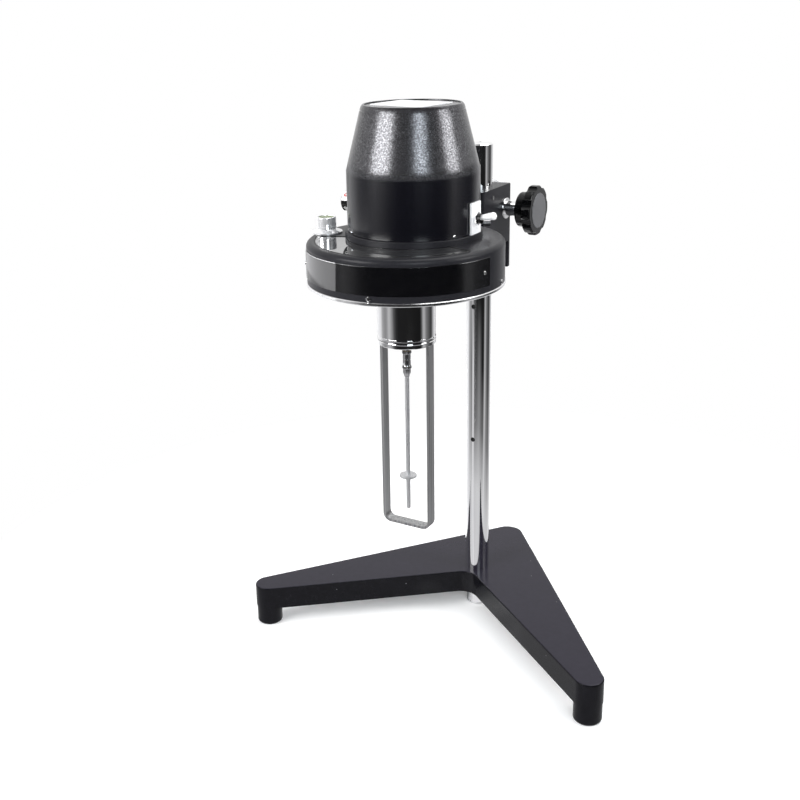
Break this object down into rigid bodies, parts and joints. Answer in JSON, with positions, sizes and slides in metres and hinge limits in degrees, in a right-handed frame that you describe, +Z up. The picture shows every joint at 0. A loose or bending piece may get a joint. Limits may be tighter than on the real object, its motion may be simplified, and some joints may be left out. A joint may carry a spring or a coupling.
{
  "type": "rotational viscometer",
  "caption": "Benchtop rotational viscometer: round measuring head with dial window, guard and disc rotor, on a rack-lifted clamp, chrome column and V-shaped base.",
  "frame": {"origin": "middle of the underside of the levelling foot, on the column axis, at bench height", "axes": "+Z up along the column, -Y to the front where the measuring head hangs, +X to the side of the lift knob and the switch"},
  "size_m": [0.3036, 0.2716, 0.4367],
  "materials": {
    "base_paint": "gloss",
    "black_paint": "satin",
    "cover_paint": "satin",
    "chrome": "polished",
    "steel": "satin",
    "aluminium": "satin",
    "brass": "satin",
    "black_plastic": "gloss",
    "grey_plastic": "matte",
    "white_plate": "satin",
    "dark_glass": "gloss",
    "clear_glass": "gloss",
    "strip_black": "gloss",
    "dial_black": "matte",
    "motor_case": "satin",
    "red_paint": "satin"
  },
  "bodies": {
    "stand": {"base_casting": "base_paint", "column_rod": "chrome", "column_rack": "steel", "rack_screws": "steel"},
    "level_foot": {"levelling_screw": "chrome"},
    "clamp": {"clamp_block": "black_paint", "clamp_rear_plate": "black_paint", "rear_plate_screws": "steel", "pinion_bush": "chrome", "friction_shoe": "brass", "handle_lock_screw": "steel", "guide_screw": "steel"},
    "lift_knob_set": {"pinion_shaft": "chrome", "lift_knob": "black_plastic", "knob_insert": "grey_plastic"},
    "tension_knob_set": {"tension_knob": "aluminium"},
    "head": {"housing_shell": "black_paint", "window": "dark_glass", "bottom_plate": "aluminium", "name_strip": "strip_black", "strip_screws": "steel", "rim_screws": "steel", "cover_ring": "black_paint", "bell_cover": "cover_paint", "cover_screws": "steel", "blank_top_plate": "white_plate", "switch_plate": "white_plate", "switch_body": "black_plastic", "switch_nut": "chrome", "level_cup": "chrome", "level_glass": "clear_glass", "handle_rod": "chrome", "sleeve": "chrome", "spindle_bush": "brass", "motor": "motor_case", "gear_plate_lower": "brass", "gear_plate_upper": "brass", "plate_pillars": "brass"},
    "dial": {"dial_disc": "dial_black", "dial_carrier": "aluminium", "dial_gear": "brass", "hairspring": "steel"},
    "spindle": {"spindle_shaft": "steel", "pointer": "red_paint", "spindle_coupling": "chrome", "rotor_rod": "chrome", "rotor_disc": "chrome"},
    "idler": {"idler_pinion": "steel", "idler_wheel": "brass"},
    "motor_shaft": {"motor_pinion": "steel"},
    "toggle": {"toggle_lever": "chrome"},
    "speed_knob_set": {"speed_knob": "black_plastic", "speed_knob_shaft": "steel"},
    "pointer_lock": {"pointer_lock_lever": "steel"},
    "guard": {"guard_ring": "chrome", "guard_frame": "steel"}
  },
  "joints": [
    {"name": "levelling_screw_height", "type": "slide", "parent": "stand", "child": "level_foot", "axis": [0, 0, 1], "range_m": [-0.006, 0.0025]},
    {"name": "head_lift", "type": "slide", "parent": "stand", "child": "clamp", "axis": [0, 0, 1], "range_m": [-0.105, 0.025]},
    {"name": "lift_knob_turn", "type": "hinge", "parent": "clamp", "child": "lift_knob_set", "pos_m": [0.024, 0.014, 0.345], "axis": [1, 0, 0], "range_deg": [-1004, 240]},
    {"name": "tension_knob_turn", "type": "hinge", "parent": "clamp", "child": "tension_knob_set", "pos_m": [0, 0.03, 0.359], "axis": [0, 1, 0], "range_deg": [-90, 180]},
    {"name": "head_tilt", "type": "hinge", "parent": "clamp", "child": "head", "pos_m": [0, -0.02, 0.331], "axis": [0, 1, 0], "range_deg": [-8, 8]},
    {"name": "dial_turn", "type": "hinge", "parent": "head", "child": "dial", "pos_m": [0, -0.122, 0.34], "axis": [0, 0, 1], "continuous": true},
    {"name": "idler_turn", "type": "hinge", "parent": "head", "child": "idler", "pos_m": [-0.02079, -0.11, 0.36], "axis": [0, 0, 1], "continuous": true},
    {"name": "motor_shaft_turn", "type": "hinge", "parent": "head", "child": "motor_shaft", "pos_m": [-0.00044, -0.10568, 0.365], "axis": [0, 0, 1], "continuous": true},
    {"name": "spindle_twist", "type": "hinge", "parent": "dial", "child": "spindle", "pos_m": [0, -0.122, 0.34], "axis": [0, 0, 1], "range_deg": [0, 290], "stiffness_Nm_per_rad": 0.00014},
    {"name": "switch_toggle", "type": "hinge", "parent": "head", "child": "toggle", "pos_m": [0.0472, -0.109, 0.361], "axis": [0, 1, 0], "range_deg": [0, 20]},
    {"name": "speed_knob_turn", "type": "hinge", "parent": "head", "child": "speed_knob_set", "pos_m": [-0.052, -0.109, 0.3662], "axis": [1, 0, 0], "range_deg": [0, 270]},
    {"name": "pointer_lock_swing", "type": "hinge", "parent": "head", "child": "pointer_lock", "pos_m": [0.03691, -0.09297, 0.354], "axis": [0, 0, 1], "range_deg": [-12, 12]},
    {"name": "guard_turn", "type": "hinge", "parent": "head", "child": "guard", "pos_m": [0, -0.122, 0.272], "axis": [0, 0, 1], "range_deg": [0, 360]}
  ],
  "couplings": [
    {"joint": "lift_knob_turn", "follows": "head_lift", "rad_per_m": 166.67},
    {"joint": "idler_turn", "follows": "dial_turn", "ratio": -3},
    {"joint": "motor_shaft_turn", "follows": "dial_turn", "ratio": 10}
  ]
}
